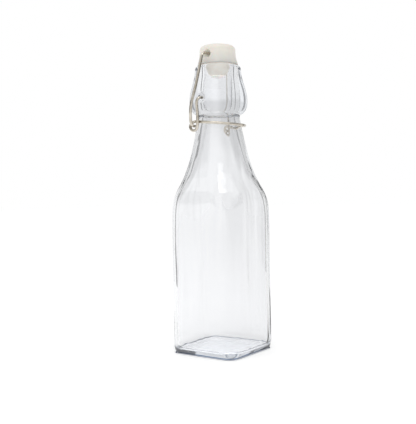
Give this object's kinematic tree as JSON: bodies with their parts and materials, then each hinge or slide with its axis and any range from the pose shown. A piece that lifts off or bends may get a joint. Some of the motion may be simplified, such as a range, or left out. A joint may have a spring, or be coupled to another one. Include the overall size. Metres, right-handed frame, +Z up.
{
  "type": "swing-top glass bottle",
  "caption": "Square clear glass bottle with a round neck and a wire bail closure that clamps a white stopper with a rubber gasket onto the mouth.",
  "frame": {"origin": "centre of the base, on the surface the bottle stands on", "axes": "+Z up along the bottle, X and Y square to the four panels, the lever turns about the Y axis and its handle lies on the +X side"},
  "size_m": [0.0536, 0.0536, 0.1983],
  "materials": {
    "glass": "clear, glossy, with a faint blue-grey edge tint",
    "stopper_plastic": "off-white, soft gloss",
    "gasket_rubber": "beige, matte",
    "plated_wire": "bright nickel-plated steel"
  },
  "bodies": {
    "bottle": {"glass_bottle": "glass"},
    "lever": {"lever_wire": "plated_wire"},
    "bail": {"bail_wire": "plated_wire"},
    "stopper": {"stopper_cap": "stopper_plastic", "gasket": "gasket_rubber"}
  },
  "joints": [
    {"name": "lever_swing", "type": "hinge", "parent": "bottle", "child": "lever", "pos_m": [0, 0, 0.163], "axis": [0, -1, 0], "range_deg": [0, 92]},
    {"name": "bail_swing", "type": "hinge", "parent": "lever", "child": "bail", "pos_m": [-0.005, 0, 0.1452], "axis": [0, -1, 0], "range_deg": [-57.5, 0]},
    {"name": "stopper_tilt", "type": "hinge", "parent": "bail", "child": "stopper", "pos_m": [0, 0, 0.192], "axis": [0, -1, 0], "range_deg": [-32.7, 0]}
  ],
  "couplings": [
    {"joint": "bail_swing", "follows": "lever_swing", "ratio": -0.625},
    {"joint": "stopper_tilt", "follows": "lever_swing", "ratio": -0.355}
  ]
}
